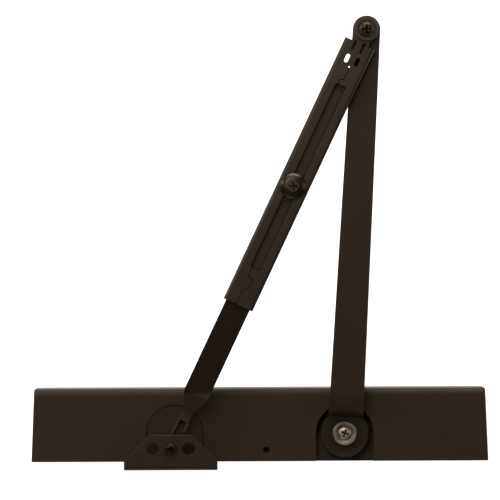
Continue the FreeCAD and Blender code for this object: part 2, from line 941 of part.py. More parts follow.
def make_power_adjuster():
    """The screw that sets the spring's force. Its collar bears on the inside of the plug."""
    body = bore_body("power_adjuster")
    outer = d.barrel_left - 3
    collar = d.barrel_left + d.plug_depth + PLUG_SPIGOT + d.running_gap
    stop = d.seat_face + 10
    lathe(body, [
        (outer, 0),
        (outer, d.adjuster_radius - 0.5),
        (outer + 0.5, d.adjuster_radius),
        (collar, d.adjuster_radius),
        (collar, 7),
        (collar + COLLAR, 7),
        (collar + COLLAR, d.adjuster_radius),
        (stop - 1, d.adjuster_radius),
        (stop, d.adjuster_radius - 1),
        (stop, 0),
    ], "H")
    key = new_sketch(body, "YZ", outer)
    outline(key, hexagon(4))
    pocket(body, key, 4, reverse=True)


# ------------------------------------------------------------------ main arm

RISE_FOOT = 11.6
RISE_TOP = 17.9
BEND = 29.6
GENTLE_RISE = 2.6
SHOULDER_RISE = 2.8
UNDER_FOOT = 14.2
MARK_ANGLES = (-48.7, -138.7)
ARM_WASHER_RADIUS = 8.7
ARM_WASHER_HEIGHT = 2.8
ARM_SCREW_HEAD = 4.7
ARM_SCREW_LENGTH = 19.0
ARM_SCREW_SINK = 1.6
ARM_RECESS_TURN = -20


def make_main_arm():
    """A forging: a round hub, a steep rise and a gentle one, and a tapered bar out to the elbow."""
    body = new_body("main_arm", PINION + (0,), ARM_ANGLE)
    hub = d.hub_radius
    length = d.arm_length
    elbow = d.arm_elbow_width / 2
    wide = d.arm_hub_width / 2
    tip = length + elbow + 1
    gentle_slope = GENTLE_RISE / (BEND - RISE_TOP)
    profile = new_sketch(body, "XZ")
    outline(profile, [
        (-hub - 1, d.hub_bottom),
        (UNDER_FOOT, d.hub_bottom),
        (UNDER_FOOT + 1.4, d.cover_half_height + 0.8),
        (UNDER_FOOT + 6.3, d.arm_bottom - 2.4),
        (BEND, d.arm_bottom),
        (tip, d.arm_bottom),
        (tip, d.arm_top),
        (BEND, d.arm_top),
        (RISE_TOP, d.arm_top - GENTLE_RISE),
        (RISE_FOOT, d.hub_top),
        (-hub - 1, d.hub_top),
    ])
    pad(body, profile, hub * 2 + 2, both_ways=True)
    shoulders = new_sketch(body, "XY", d.hub_top + SHOULDER_RISE)
    shoulder_x = root(RISE_TOP * RISE_TOP - (wide + 1) * (wide + 1))
    outline(shoulders, [
        (shoulder_x, -wide - 1, -RISE_TOP),
        (RISE_TOP + 0.5, -wide - 1),
        (RISE_TOP + 0.5, wide + 1),
        (shoulder_x, wide + 1),
        (RISE_TOP, 0, -RISE_TOP),
    ])
    pad(body, shoulders, d.arm_top - d.hub_top - SHOULDER_RISE)
    over_slope = new_sketch(body, "XZ")
    outline(over_slope, [
        (RISE_FOOT - 1, d.arm_top - gentle_slope * (BEND - RISE_FOOT + 1)),
        (BEND, d.arm_top),
        (RISE_FOOT - 1, d.arm_top + 1),
    ])
    pocket(body, over_slope, hub * 2 + 2, both_ways=True)
    plan = new_sketch(body, "XY", d.arm_top + 1)
    meet = root(hub * hub - wide * wide)
    outline(plan, [
        (meet, wide, -hub),
        (length, elbow),
        (length + elbow, 0, -elbow),
        (length, -elbow, -elbow),
        (meet, -wide),
        (0, -hub, -hub),
        (-hub, 0, -hub),
        (0, hub, -hub),
    ])
    outline(plan, rectangle(-hub - 5, -hub - 5, tip + 4, hub + 5))
    pocket(body, plan, d.arm_top - d.hub_bottom + 2)
    half_square = d.square_flats / 2 + d.running_gap
    socket = new_sketch(body, "XY", d.hub_bottom)
    outline(socket, rectangle(-half_square, -half_square, half_square, half_square))
    pocket(body, socket, d.shaft_end - d.hub_bottom + 0.2, reverse=True)
    screw_hole = new_sketch(body, "XY", d.hub_top)
    circle(screw_hole, 0, 0, d.arm_screw_radius + 0.2)
    pocket(body, screw_hole, d.hub_top - d.hub_bottom)
    elbow_hole = new_sketch(body, "XY", d.arm_top)
    circle(elbow_hole, length, 0, d.pivot_screw_radius + 0.05)
    pocket(body, elbow_hole, d.arm_top - d.arm_bottom)
    mark_corners = rectangle(10.2, -0.5, 13.8, 0.5)
    for angle in MARK_ANGLES:
        mark = new_sketch(body, "XY", d.hub_top)
        outline(mark, [
            (
                along * cosine(angle) - across * sine(angle),
                along * sine(angle) + across * cosine(angle),
            )
            for along, across in mark_corners
        ])
        pocket(body, mark, 0.5)


def make_arm_fasteners():
    """The dished washer on the hub, and the raised countersunk screw that sits down in it."""
    place = PINION + (0,)
    shank = d.arm_screw_radius
    low = d.hub_top
    rim = ARM_WASHER_RADIUS
    crest = low + ARM_WASHER_HEIGHT
    seat_top = low + ARM_SCREW_SINK
    washer = new_body("arm_washer", place)
    lathe(washer, [
        (shank + 0.1, low),
        (rim, low),
        (rim, crest - 1),
        (rim - 0.9, crest),
        (rim - 1.7, crest),
        (ARM_SCREW_HEAD + 0.1, seat_top),
    ])
    tip = low - ARM_SCREW_LENGTH
    head_top = seat_top + 1.1
    screw = new_body("arm_screw", place, ARM_RECESS_TURN)
    lathe(screw, [
        (0, tip),
        (shank - 0.6, tip),
        (shank, tip + 0.6),
        (shank, low + 0.05),
        (ARM_SCREW_HEAD, seat_top + 0.05),
        (ARM_SCREW_HEAD, seat_top + 0.3),
        (ARM_SCREW_HEAD / 2, head_top, ARM_SCREW_HEAD),
        (0, head_top),
    ])
    cross_recess(screw, head_top, 1.5, ARM_SCREW_HEAD * 1.15, 1.6)


# --------------------------------------------------------------------- elbow

ELBOW_BUSH_RADIUS = 4.5
ELBOW_WASHER_RADIUS = 8.7
ELBOW_WASHER_THICKNESS = 2.0


def make_elbow():
    """The pivot fixed in the main arm: the forearm's eye turns on its bush."""
    place = ELBOW + (0,)
    screw = d.pivot_screw_radius
    washer_bottom = d.sleeve_top + 0.1
    washer_top = washer_bottom + ELBOW_WASHER_THICKNESS
    eye_bottom = d.sleeve_top - d.sheet
    bush = ELBOW_BUSH_RADIUS
    ring("elbow_spacer", bush + 0.2, 7.5, d.arm_top, eye_bottom - 0.1, place)
    ring("elbow_bush", screw + 0.05, bush, d.arm_top, washer_bottom, place)
    ring("elbow_washer", screw + 0.05, ELBOW_WASHER_RADIUS, washer_bottom, washer_top, place, 0.5)
    pan_screw("elbow_screw", place, screw, d.arm_bottom - 5, washer_top, 5.2, 3.4)
    hex_nut("elbow_nut", place, screw, d.arm_bottom - 4.2, d.arm_bottom, 10)


# ------------------------------------------------------------------- forearm

FOREARM_PLACE = ELBOW + (0,)
SEAM = 0.4
EYE_RADIUS = 9.2
TONGUE_WIDTH = 12.6
RELIEF_Y = 3.2
RELIEF_WIDTH = 1.7
RELIEF_END = 17.8
WINDOW_Y = 3.9
WINDOW_WIDTH = 2.8
WINDOW_START = 21.3
WINDOW_END = 27.8
SEAM_HOLE_X = 29.6
SEAM_HOLE_RADIUS = 0.6
SLOT_Y = 0.5
SLOT_CORNER = 1.2


def seam_band(points):
    """A narrow band along a zigzag line that runs along X. A corner's third number is -1 at both ends
    of a rising stretch, 1 at both ends of a falling one, and 0 where the band starts or stops."""
    half = SEAM / 2
    upper = [(x + half * lean, y + half) for x, y, lean in points]
    lower = [(x - half * lean, y - half) for x, y, lean in points]
    return upper + lower[::-1]


def make_forearm_sleeve():
    """A folded sheet tube. Its edges meet on top in a seam at each end, and leave a slot between."""
    body = new_body("forearm_sleeve", FOREARM_PLACE, FOREARM_ANGLE)
    half = d.sleeve_width / 2
    low = d.sleeve_bottom
    top = d.sleeve_top
    gauge = d.sheet
    bend = gauge * 1.1
    tube = new_sketch(body, "YZ", d.sleeve_start)
    outline(tube, rounded_rectangle(-half, low, half, top, bend))
    outline(tube, rectangle(gauge - half, low + gauge, half - gauge, top - gauge))
    pad(body, tube, d.sleeve_end - d.sleeve_start)
    eye = new_sketch(body, "XY", top)
    neck = TONGUE_WIDTH / 2
    neck_start = math.sqrt(EYE_RADIUS ** 2 - neck ** 2)
    outline(eye, [
        (d.sleeve_start + 1, -neck),
        (d.sleeve_start + 1, neck),
        (neck_start, neck),
        (0, EYE_RADIUS, EYE_RADIUS),
        (-EYE_RADIUS, 0, EYE_RADIUS),
        (0, -EYE_RADIUS, EYE_RADIUS),
        (neck_start, -neck, EYE_RADIUS),
    ])
    pad(body, eye, gauge, reverse=True)
    for side in (1, -1):
        relief = new_sketch(body, "XY", top)
        low_y = RELIEF_Y * side - RELIEF_WIDTH / 2
        high_y = RELIEF_Y * side + RELIEF_WIDTH / 2
        outline(relief, rectangle(d.sleeve_start - 1, low_y, RELIEF_END, high_y))
        pocket(body, relief, gauge + 0.2)
        window = new_sketch(body, "XY", top)
        outline(window, slot(WINDOW_START, WINDOW_END, WINDOW_WIDTH / 2, WINDOW_Y * side))
        pocket(body, window, top - low)
    seam_hole = new_sketch(body, "XY", top)
    circle(seam_hole, SEAM_HOLE_X, 0, SEAM_HOLE_RADIUS)
    pocket(body, seam_hole, top - low)
    long_slot = new_sketch(body, "XY", top)
    slot_low = SLOT_Y - d.slot_width / 2
    slot_high = SLOT_Y + d.slot_width / 2
    outline(long_slot, rounded_rectangle(d.slot_start, slot_low, d.slot_end, slot_high, SLOT_CORNER))
    pocket(body, long_slot, gauge + 0.2)
    start = d.slot_start
    end = d.slot_end
    stop = d.sleeve_end
    upper_seam = new_sketch(body, "XY", top)
    outline(upper_seam, seam_band([
        (SEAM_HOLE_X, 0.6, 0),
        (start - 4.3, 0.6, 1),
        (start - 3.1, -2.1, 1),
        (start + 1.2, -2.1, 0),
    ]))
    pocket(body, upper_seam, gauge + 0.2)
    lower_seam = new_sketch(body, "XY", top)
    outline(lower_seam, seam_band([
        (end - 0.5, -1.9, 0),
        (end + 6.4, -1.9, -1),
        (end + 7.2, 2.2, -1),
        (end + 15.2, 2.2, 1),
        (end + 16.9, -1.5, 1),
        (stop + 1, -1.5, 0),
    ]))
    pocket(body, lower_seam, gauge + 0.2)
    pivot_hole = new_sketch(body, "XY", top)
    circle(pivot_hole, 0, 0, ELBOW_BUSH_RADIUS + d.running_gap)
    pocket(body, pivot_hole, gauge)


# ----------------------------------------------------------------------- rod

JOGGLE_START = 42.3
JOGGLE_END = 29.3
WAIST_END = 23.6
BLOCK_START = 22.3
ROD_GROOVE_END = 8.0
ROD_GROOVE_DEPTH = 3.0


def make_adjusting_rod():
    """A flat bar that slides in the sleeve and steps down to a narrow neck and an eye."""
    body = new_body("adjusting_rod", FOREARM_PLACE, FOREARM_ANGLE)
    bottom = d.sleeve_bottom + d.sheet + 0.1
    top = bottom + d.rod_thickness
    pivot = d.forearm_length
    eye = d.eye_radius
    drop = pivot - JOGGLE_START
    land = pivot - JOGGLE_END
    tip = pivot + eye
    eye_bottom = d.eye_top - d.rod_thickness
    profile = new_sketch(body, "XZ")
    outline(profile, [
        (d.rod_start, bottom),
        (drop - 2, bottom),
        (land - 2, eye_bottom),
        (tip + 1, eye_bottom),
        (tip + 1, d.eye_top),
        (land, d.eye_top),
        (drop, top),
        (d.rod_start, top),
    ])
    wide = d.rod_width / 2
    neck = d.neck_width / 2
    pad(body, profile, wide * 2 + 2, both_ways=True)
    meet = pivot - root(eye * eye - neck * neck)
    waist = d.waist_width / 2
    plan = new_sketch(body, "XY", top + 1)
    outline(plan, [
        (d.rod_start, -wide),
        (d.rod_start, wide),
        (drop, wide),
        (land, waist),
        (pivot - WAIST_END, waist),
        (pivot - BLOCK_START, neck),
        (meet, neck),
        (pivot, eye, -eye),
        (tip, 0, -eye),
        (pivot, -eye, -eye),
        (meet, -neck, -eye),
        (pivot - BLOCK_START, -neck),
        (pivot - WAIST_END, -waist),
        (land, -waist),
        (drop, -wide),
    ])
    outline(plan, rectangle(d.rod_start - 3, -wide - 5, tip + 4, wide + 5))
    pocket(body, plan, top - eye_bottom + 2)
    groove_half = d.rod_groove_width / 2
    rod_groove = new_sketch(body, "XY", d.eye_top)
    groove_end = pivot - ROD_GROOVE_END
    outline(rod_groove, rectangle(pivot - BLOCK_START + 1, -groove_half, groove_end, groove_half))
    pocket(body, rod_groove, ROD_GROOVE_DEPTH)
    clamp_hole = new_sketch(body, "XY", top)
    circle(clamp_hole, d.clamp_x, 0, d.pivot_screw_radius)
    pocket(body, clamp_hole, d.rod_thickness)
    eye_hole = new_sketch(body, "XY", d.eye_top)
    circle(eye_hole, pivot, 0, SHOE_BUSH_RADIUS + d.running_gap)
    pocket(body, eye_hole, d.rod_thickness)


CLAMP_WASHER_RADIUS = 9.2
CLAMP_SCREW_HEAD = 4.5


def make_clamp():
    """The screw through the slot that locks the rod in the sleeve."""
    place = (
        ELBOW[0] + d.clamp_x * cosine(FOREARM_ANGLE),
        ELBOW[1] + d.clamp_x * sine(FOREARM_ANGLE),
        0,
    )
    screw = d.pivot_screw_radius
    washer_bottom = d.sleeve_top + 0.1
    washer_top = washer_bottom + 2.4
    rod_bottom = d.sleeve_bottom + d.sheet + 0.1
    washer = new_body("clamp_washer", place)
    lathe(washer, [
        (screw + 0.05, washer_bottom),
        (CLAMP_WASHER_RADIUS, washer_bottom),
        (CLAMP_WASHER_RADIUS, washer_bottom + 0.6),
        (CLAMP_SCREW_HEAD + 0.4, washer_top, 8),
        (screw + 0.05, washer_top),
    ])
    pan_screw("clamp_screw", place, screw - 0.05, rod_bottom + 0.1, washer_top, CLAMP_SCREW_HEAD, 1.6, 0.86)


# ---------------------------------------------------------------------- shoe

SHOE_BUSH_RADIUS = 4.0
SHOE_PLACE = SHOE + (0,)


def make_shoe_bracket():
    """The bracket that is screwed to the door frame: a plate over the rod's eye, and a leg."""
    body = new_body("shoe_bracket", SHOE_PLACE)
    plate_bottom = d.shoe_plate_bottom
    plate_top = plate_bottom + d.shoe_sheet
    back = -d.shoe_back
    bend = d.shoe_sheet
    profile = new_sketch(body, "YZ")
    outline(profile, [
        (back, d.shoe_bottom),
        (back + d.shoe_sheet, d.shoe_bottom),
        (back + d.shoe_sheet, plate_bottom),
        (d.shoe_front, plate_bottom),
        (d.shoe_front, plate_top),
        (back + bend, plate_top),
        (back, plate_top - bend, bend),
    ])
    pad(body, profile, d.shoe_width, both_ways=True)
    side_x = d.shoe_width / 2
    top_x = d.shoe_top_width / 2
    slope = (side_x - top_x) / (d.shoe_front + d.shoe_shoulder)
    for side in (1, -1):
        corner = new_sketch(body, "XY", plate_top + 1)
        outline(corner, [
            ((side_x + 1) * side, -d.shoe_shoulder),
            ((side_x + 1) * side, d.shoe_front + 1),
            ((top_x - slope) * side, d.shoe_front + 1),
            (side_x * side, -d.shoe_shoulder),
        ])
        pocket(body, corner, d.shoe_sheet + 2)
    for x, radius in (
        (-d.shoe_hole_x, d.shoe_hole_radius),
        (0, d.pivot_screw_radius + 0.05),
        (d.shoe_hole_x, d.shoe_hole_radius),
    ):
        hole = new_sketch(body, "XY", plate_top)
        circle(hole, x, 0, radius)
        pocket(body, hole, d.shoe_sheet + 0.5)
    frame_holes = new_sketch(body, "XZ", d.shoe_back)
    for side in (1, -1):
        circle(frame_holes, d.frame_hole_x * side, d.frame_hole_z, d.frame_hole_radius)
    pocket(body, frame_holes, d.shoe_sheet + 0.5)


def make_shoe_pivot():
    """The screw fixed in the bracket: the rod's eye turns on its bush."""
    screw = d.pivot_screw_radius
    eye_bottom = d.eye_top - d.rod_thickness
    washer_top = eye_bottom - 0.1
    nut_top = washer_top - 1
    plate_top = d.shoe_plate_bottom + d.shoe_sheet
    ring("shoe_bush", screw + 0.05, SHOE_BUSH_RADIUS, washer_top, d.shoe_plate_bottom, SHOE_PLACE)
    ring("shoe_washer", screw + 0.05, 6.4, nut_top, washer_top, SHOE_PLACE)
    hex_nut("shoe_nut", SHOE_PLACE, screw, nut_top - 4, nut_top, 10)
    pan_screw("shoe_screw", SHOE_PLACE, screw, nut_top - 4.8, plate_top, 4.2, 3)


# ------------------------------------------------------------ make and check

make_cover()
make_cover_insert()
make_cover_screws()
make_body_casting()
make_plugs()
make_bearings()
make_valves()
make_pinion_shaft()
make_rack_piston()
make_check_valve()
make_spring()
make_spring_seat()
make_power_adjuster()
make_main_arm()
make_arm_fasteners()
make_elbow()
make_forearm_sleeve()
make_adjusting_rod()
make_clamp()
make_shoe_bracket()
make_shoe_pivot()
doc.recompute()

for item in doc.Objects:
    faults = {"Invalid", "Error"} & set(item.State)
    if faults:
        raise RuntimeError(f"{item.Label}: {sorted(faults)}")

os.makedirs("parts", exist_ok=True)
for name, body in nodes.items():
    shape = body.Shape
    if shape.isNull() or not shape.isValid() or not shape.Solids:
        raise RuntimeError(f"{name}: the shape is not a valid solid")
    shape.exportStep(f"parts/{name}.step")
    box = shape.BoundBox
    low = (box.XMin, box.YMin, box.ZMin)
    high = (box.XMax, box.YMax, box.ZMax)
    span = " ".join(f"{a:.1f}..{b:.1f}" for a, b in zip(low, high))
    print(f"{name}: {len(shape.Solids)} solid(s), {shape.Volume / 1000:.2f} cm3, {span}")
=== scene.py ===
import json
import math

import bpy
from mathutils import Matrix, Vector

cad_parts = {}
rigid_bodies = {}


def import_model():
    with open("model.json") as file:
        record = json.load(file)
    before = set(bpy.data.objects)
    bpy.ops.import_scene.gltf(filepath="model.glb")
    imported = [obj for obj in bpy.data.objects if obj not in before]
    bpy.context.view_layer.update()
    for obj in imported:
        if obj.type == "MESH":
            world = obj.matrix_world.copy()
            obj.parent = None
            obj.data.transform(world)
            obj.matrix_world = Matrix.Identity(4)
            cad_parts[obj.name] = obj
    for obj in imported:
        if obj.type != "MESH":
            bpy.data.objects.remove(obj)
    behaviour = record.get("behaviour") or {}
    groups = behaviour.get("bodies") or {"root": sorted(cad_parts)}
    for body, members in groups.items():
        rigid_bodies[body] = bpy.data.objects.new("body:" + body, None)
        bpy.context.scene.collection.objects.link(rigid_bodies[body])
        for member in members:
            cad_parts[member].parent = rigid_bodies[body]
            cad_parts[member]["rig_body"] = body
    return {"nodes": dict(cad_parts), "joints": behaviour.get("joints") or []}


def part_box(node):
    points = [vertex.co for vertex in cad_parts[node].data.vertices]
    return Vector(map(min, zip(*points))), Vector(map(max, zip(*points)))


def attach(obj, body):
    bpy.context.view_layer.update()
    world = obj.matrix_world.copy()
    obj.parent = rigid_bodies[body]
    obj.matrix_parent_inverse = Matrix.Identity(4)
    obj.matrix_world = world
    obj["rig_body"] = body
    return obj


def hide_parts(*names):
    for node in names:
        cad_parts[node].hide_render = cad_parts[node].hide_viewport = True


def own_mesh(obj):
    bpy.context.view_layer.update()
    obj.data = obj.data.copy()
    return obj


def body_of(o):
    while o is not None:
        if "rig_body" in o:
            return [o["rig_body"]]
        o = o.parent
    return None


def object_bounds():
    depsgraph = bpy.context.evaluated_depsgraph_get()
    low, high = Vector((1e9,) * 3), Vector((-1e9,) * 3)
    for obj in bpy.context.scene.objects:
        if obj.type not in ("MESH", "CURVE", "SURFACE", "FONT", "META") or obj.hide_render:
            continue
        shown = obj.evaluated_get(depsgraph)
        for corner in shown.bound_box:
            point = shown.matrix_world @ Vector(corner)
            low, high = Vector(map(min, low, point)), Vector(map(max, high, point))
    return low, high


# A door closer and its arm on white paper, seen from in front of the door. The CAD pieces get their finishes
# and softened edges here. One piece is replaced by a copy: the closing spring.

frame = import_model()
nodes = frame["nodes"]
joints = {joint["name"]: joint for joint in frame["joints"]}
bpy.context.view_layer.update()
cad_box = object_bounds()

MM = 0.001


# ---------------------------------------------------------------- materials

PEEL = 0.9 * MM
PEEL_GRAIN = 0.25 * MM
RING_PITCH = 1.7 * MM
RING_DEPTH = 0.2 * MM
RING_SHADE = 0.78


class Finish:
    """A procedural material, built up around one Principled shader. Lengths are in metres."""

    def __init__(self, name, **sockets):
        self.material = bpy.data.materials.new(name)
        self.material.use_nodes = True
        self.tree = self.material.node_tree
        self.shader = self.tree.nodes["Principled BSDF"]
        self.place = self.node("ShaderNodeTexCoord").outputs["Object"]
        for socket, value in sockets.items():
            self.shader.inputs[socket.replace("_", " ")].default_value = value

    def node(self, kind, inputs=None, **properties):
        made = self.tree.nodes.new(kind)
        for name, value in properties.items():
            setattr(made, name, value)
        for name, value in (inputs or {}).items():
            self.feed(made.inputs[name], value)
        return made

    def feed(self, socket, value):
        if isinstance(value, bpy.types.NodeSocket):
            self.tree.links.new(value, socket)
        else:
            socket.default_value = value

    def noise(self, grain, detail=3.0, roughness=0.5):
        """Noise whose blobs are about grain across."""
        mapped = self.node("ShaderNodeMapping", {"Vector": self.place, "Scale": [1.0 / grain] * 3})
        return self.node(
            "ShaderNodeTexNoise",
            {"Vector": mapped.outputs["Vector"], "Scale": 1.0, "Detail": detail, "Roughness": roughness},
        ).outputs["Fac"]

    def multiply(self, first, second):
        return self.node("ShaderNodeMath", {0: first, 1: second}, operation="MULTIPLY").outputs[0]

    def scaled(self, colour, factor):
        """The colour, made darker by a factor below 1."""
        inputs = {0: colour, "Scale": factor}
        return self.node("ShaderNodeVectorMath", inputs, operation="SCALE").outputs["Vector"]

    def rings(self, x, y, top, reach):
        """Rings about an upright axis through x and y, which fade out towards reach and above top."""
        flat = self.node("ShaderNodeVectorMath", {0: self.place, 1: (1.0, 1.0, 0.0)}, operation="MULTIPLY")
        from_axis = self.node(
            "ShaderNodeVectorMath", {0: flat.outputs["Vector"], 1: (x, y, 0.0)}, operation="DISTANCE"
        ).outputs["Value"]
        turns = self.multiply(from_axis, 1.0 / RING_PITCH)
        saw = self.node("ShaderNodeMath", {0: turns}, operation="FRACT").outputs[0]
        step = self.between(saw, 0.0, 1.0, start=0.35, end=0.5)
        near = self.between(from_axis, 1.0, 0.0, start=reach - 0.5 * MM, end=reach)
        height = self.node("ShaderNodeSeparateXYZ", {0: self.place}).outputs["Z"]
        below = self.between(height, 1.0, 0.0, start=top + 0.1 * MM, end=top + 0.4 * MM)
        return self.multiply(self.multiply(step, near), below)

    def shaded_in_gaps(self, colour, reach, darkest, start=0.4, end=0.85):
        """The colour with painted shade: it falls to the share darkest of itself in corners and gaps narrower
        than reach.
        """
        open_sky = self.node("ShaderNodeAmbientOcclusion", {"Distance": reach}, samples=6).outputs["AO"]
        return self.scaled(colour, self.between(open_sky, darkest, 1.0, start, end))

    def between(self, factor, low, high, start=0.3, end=0.7):
        """A number that goes from low to high while factor goes from start to end."""
        inputs = {"Value": factor, "From Min": start, "From Max": end, "To Min": low, "To Max": high}
        return self.node("ShaderNodeMapRange", inputs).outputs["Result"]

    def tint(self, factor, dark, light, start=0.3, end=0.7):
        """A colour that goes from dark to light while factor goes from start to end."""
        ramp = self.node("ShaderNodeValToRGB", {"Fac": factor})
        first, last = ramp.color_ramp.elements
        first.position = start
        first.color = (*dark, 1.0)
        last.position = end
        last.color = (*light, 1.0)
        return ramp.outputs["Color"]

    def bump(self, height, depth, under=None):
        """A relief of this depth, on top of the relief under it."""
        inputs = {"Height": height, "Distance": depth, "Strength": 1.0}
        if under is not None:
            inputs["Normal"] = under
        return self.node("ShaderNodeBump", inputs).outputs["Normal"]

    def finish(self, colour, roughness=None, normal=None):
        """Feeds the shader, and gives the material."""
        wanted = {"Base Color": colour, "Roughness": roughness, "Normal": normal}
        for name, value in wanted.items():
            if value is not None:
                self.feed(self.shader.inputs[name], value)
        return self.material


def lacquer(name, dark, light, rough, peel_depth, gloss, turned_about=None, shade_reach=2.5 * MM, shade_darkest=0.45):
    """Baked-on lacquer: a fine orange peel with a finer grain in it, a faint cloudiness, and painted shade in
    its corners and gaps.

    Where turned_about is given, as Finish.rings takes it, the rings of a turned face show through.
    """
    paint = Finish(name, Specular_IOR_Level=gloss)
    cloud = paint.noise(22 * MM, detail=4.0)
    peel = paint.noise(PEEL, detail=2.0)
    grain = paint.noise(PEEL_GRAIN, detail=1.0)
    colour = paint.tint(cloud, dark, light)
    normal = paint.bump(grain, peel_depth * 0.4, under=paint.bump(peel, peel_depth))
    if turned_about:
        rings = paint.rings(*turned_about)
        normal = paint.bump(rings, RING_DEPTH, under=normal)
        colour = paint.scaled(colour, paint.between(rings, 1.0, RING_SHADE, start=0.0, end=1.0))
    return paint.finish(
        # Painted shade: the lacquer's colour darkens in its corners and gaps.
        colour=paint.shaded_in_gaps(colour, shade_reach, shade_darkest),
        roughness=paint.between(cloud, rough * 0.93, rough * 1.07, start=0.0, end=1.0),
        normal=normal,
    )


def rubbed_and_lit_lacquer(name, rubbed_and_lit_colour, dull, rubbed_above, lit_below, rough, peel_depth, gloss):
    """Lacquer that has gone dull along Y, except above one place, where it is rubbed lighter, and below
    another, where its lighter colour is a painted reflection of the pale surroundings in the rod's joggle.
    """
    paint = Finish(name, Specular_IOR_Level=gloss)
    along = paint.node("ShaderNodeSeparateXYZ", {0: paint.place}).outputs["Y"]
    below_top = paint.between(along, 1.0, 0.0, start=rubbed_above, end=rubbed_above + 2 * MM)
    above_bottom = paint.between(along, 0.0, 1.0, start=lit_below - 3 * MM, end=lit_below)
    cloud = paint.noise(6 * MM, detail=4.0)
    peel = paint.noise(PEEL, detail=2.0)
    dull_share = paint.multiply(paint.multiply(below_top, above_bottom), paint.between(cloud, 0.9, 1.0))
    # Painted reflection: towards the joggle the rod turns to the lighter colour, standing in for the pale
    # surroundings that its sloping face mirrors; inside the sleeve the lighter colour is rubbed paint.
    colour = paint.tint(dull_share, rubbed_and_lit_colour, dull, start=0.0, end=1.0)
    return paint.finish(
        # Painted shade: the colour darkens in corners and gaps narrower than 3 mm.
        colour=paint.shaded_in_gaps(colour, 3 * MM, 0.25, start=0.45, end=0.9),
        roughness=paint.between(cloud, rough - 0.05, rough + 0.05),
        normal=paint.bump(peel, peel_depth),
    )


def bare_metal(name, dark, light, rough):
    """Plated or ground metal with fine tool marks, and painted shade in its recesses."""
    metal = Finish(name, Metallic=1.0)
    marks = metal.noise(0.12 * MM)
    stain = metal.noise(5 * MM, detail=4.0)
    return metal.finish(
        # Painted shade: the metal's colour darkens almost to black in recesses such as cross slots.
        colour=metal.shaded_in_gaps(metal.tint(stain, dark, light), 3 * MM, 0.04, start=0.6, end=0.95),
        roughness=metal.between(marks, rough - 0.08, rough + 0.1),
        normal=metal.bump(marks, 0.008 * MM),
    )


def moulded(name, dark, light, rough, gloss):
    """Moulded plastic or rubber with a fine spark-eroded texture."""
    plastic = Finish(name, Specular_IOR_Level=gloss)
    texture = plastic.noise(0.35 * MM, detail=2.0)
    tone = plastic.noise(9 * MM)
    return plastic.finish(
        colour=plastic.tint(tone, dark, light),
        roughness=plastic.between(texture, rough - 0.06, rough + 0.06),
        normal=plastic.bump(texture, 0.02 * MM),
    )


def sand_cast(name, dark, light):
    """A painted casting, rough from the sand."""
    iron = Finish(name, Specular_IOR_Level=0.1)
    sand = iron.noise(0.8 * MM, detail=5.0, roughness=0.65)
    tone = iron.noise(14 * MM, detail=4.0)
    return iron.finish(
        colour=iron.tint(tone, dark, light),
        roughness=iron.between(sand, 0.45, 0.65),
        normal=iron.bump(sand, 0.12 * MM),
    )


finishes = {
    "cover_paint": lacquer(
        "cover_paint", (0.0270, 0.0190, 0.0118), (0.0310, 0.0218, 0.0137),
        rough=0.44, peel_depth=0.012 * MM, gloss=0.12,
    ),
    "arm_paint": lacquer(
        "arm_paint", (0.0235, 0.0156, 0.0088), (0.0270, 0.0180, 0.0104),
        rough=0.38, peel_depth=0.010 * MM, gloss=0.14,
    ),
    "insert_plastic": moulded(
        "insert_plastic", (0.0225, 0.0152, 0.0090), (0.0250, 0.0170, 0.0102), rough=0.5, gloss=0.12
    ),
    "dark_fastener": bare_metal("dark_fastener", (0.041, 0.032, 0.024), (0.055, 0.043, 0.033), rough=0.33),
    "zinc": bare_metal("zinc", (0.21, 0.178, 0.146), (0.27, 0.229, 0.188), rough=0.5),
    "bright_zinc": bare_metal("bright_zinc", (0.38, 0.325, 0.275), (0.46, 0.40, 0.34), rough=0.42),
    "black_steel": bare_metal("black_steel", (0.026, 0.020, 0.015), (0.036, 0.028, 0.021), rough=0.42),
    "casting": sand_cast("casting", (0.0280, 0.0190, 0.0112), (0.0370, 0.0250, 0.0152)),
    "steel": bare_metal("steel", (0.42, 0.42, 0.43), (0.52, 0.52, 0.53), rough=0.3),
    "spring_steel": bare_metal("spring_steel", (0.10, 0.11, 0.125), (0.16, 0.17, 0.19), rough=0.35),
    "rubber": moulded("rubber", (0.012, 0.012, 0.012), (0.018, 0.018, 0.018), rough=0.6, gloss=0.4),
    "nylon": moulded("nylon", (0.55, 0.53, 0.46), (0.62, 0.60, 0.53), rough=0.45, gloss=0.4),
}

PINION_X, PINION_Y = joints["pinion_turn"]["pos_m"][:2]
HUB_RADIUS = 16.9 * MM
HUB_TOP = 36.5 * MM
SLEEVE_MOUTH_Y = 125.0 * MM
JOGGLE_Y = 50.5 * MM

# Pieces that look different from the others of their finish.
node_finishes = {
    "main_arm": lacquer(
        "turned_hub_paint", (0.0228, 0.0151, 0.0084), (0.0262, 0.0174, 0.0098),
        rough=0.38, peel_depth=0.010 * MM, gloss=0.14,
        turned_about=(PINION_X, PINION_Y, HUB_TOP, HUB_RADIUS),
    ),
    # The rod's lighter colour below the joggle is a painted reflection; inside the sleeve it is rubbed paint.
    "adjusting_rod": rubbed_and_lit_lacquer(
        "rod_paint", rubbed_and_lit_colour=(0.0350, 0.0242, 0.0150), dull=(0.0100, 0.0054, 0.0020),
        rubbed_above=SLEEVE_MOUTH_Y, lit_below=JOGGLE_Y,
        rough=0.46, peel_depth=0.008 * MM, gloss=0.07,
    ),
    "forearm_sleeve": lacquer(
        "sleeve_paint", (0.0225, 0.0149, 0.0083), (0.0260, 0.0172, 0.0099),
        # Painted shade reaches 8 mm deep into the sleeve's slot and openings.
        rough=0.27, peel_depth=0.010 * MM, gloss=0.22, shade_reach=8 * MM, shade_darkest=0.2,
    ),
    "arm_screw": finishes["bright_zinc"],
}

